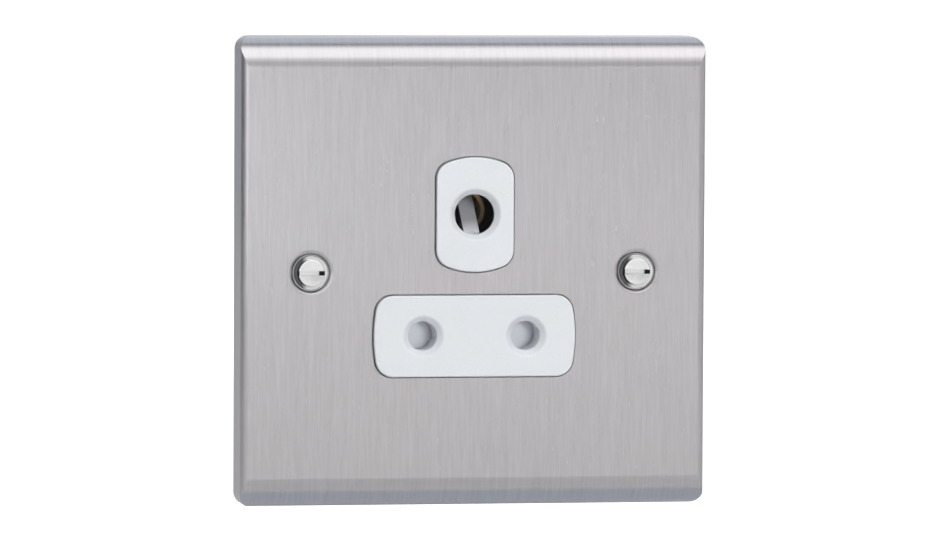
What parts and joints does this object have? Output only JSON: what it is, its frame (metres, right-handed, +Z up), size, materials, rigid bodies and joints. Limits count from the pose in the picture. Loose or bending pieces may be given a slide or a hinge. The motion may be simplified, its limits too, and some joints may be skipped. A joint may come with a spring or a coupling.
{
  "type": "round pin socket",
  "caption": "Wall socket for round pin plugs: square brushed metal plate with rolled edges, white insert pads with an earth hole over line holes, sprung shutter, contacts and rear housing.",
  "frame": {"origin": "centre of the plate on the wall plane, midway between the two fixing screws", "axes": "+X to the right seen from the front, +Y into the wall, +Z up; the plate's face looks along -Y"},
  "size_m": [0.086, 0.0269, 0.086],
  "materials": {
    "brushed_plate": "brushed vertically, satin",
    "white_moulding": "white, semi-gloss",
    "shutter_moulding": "white, satin",
    "housing_moulding": "white, satin",
    "bright_screw": "bright plated",
    "plated_screw": "zinc plated",
    "brass": "bright brass",
    "spring_steel": "bright spring steel",
    "nylon": "natural nylon"
  },
  "bodies": {
    "socket": {"earth_contact": "brass", "earth_contact_clamp": "spring_steel", "earth_nut": "plated_screw", "earth_strap": "brass", "earth_terminal": "brass", "earth_terminal_screw": "plated_screw", "faceplate": "brushed_plate", "fixing_screw_left": "bright_screw", "fixing_screw_right": "bright_screw", "housing_screw_lower_left": "plated_screw", "housing_screw_lower_right": "plated_screw", "housing_screw_upper_left": "plated_screw", "housing_screw_upper_right": "plated_screw", "insert_moulding": "white_moulding", "live_contact": "brass", "live_contact_clamp": "spring_steel", "live_terminal": "brass", "live_terminal_screw": "plated_screw", "neutral_contact": "brass", "neutral_contact_clamp": "spring_steel", "neutral_terminal": "brass", "neutral_terminal_screw": "plated_screw", "rear_housing": "housing_moulding", "screw_retainer_left": "nylon", "screw_retainer_right": "nylon", "shutter_spring": "spring_steel", "stud_clip_lower_left": "spring_steel", "stud_clip_lower_right": "spring_steel", "stud_clip_upper_left": "spring_steel", "stud_clip_upper_right": "spring_steel"},
    "shutter": {"shutter": "shutter_moulding"}
  },
  "joints": [
    {"name": "shutter_slide", "type": "slide", "parent": "socket", "child": "shutter", "axis": [0, 0, -1], "range_m": [0, 0.0075], "stiffness_N_per_m": 150, "springref_m": -0.003, "deforming": ["shutter_spring"]}
  ]
}
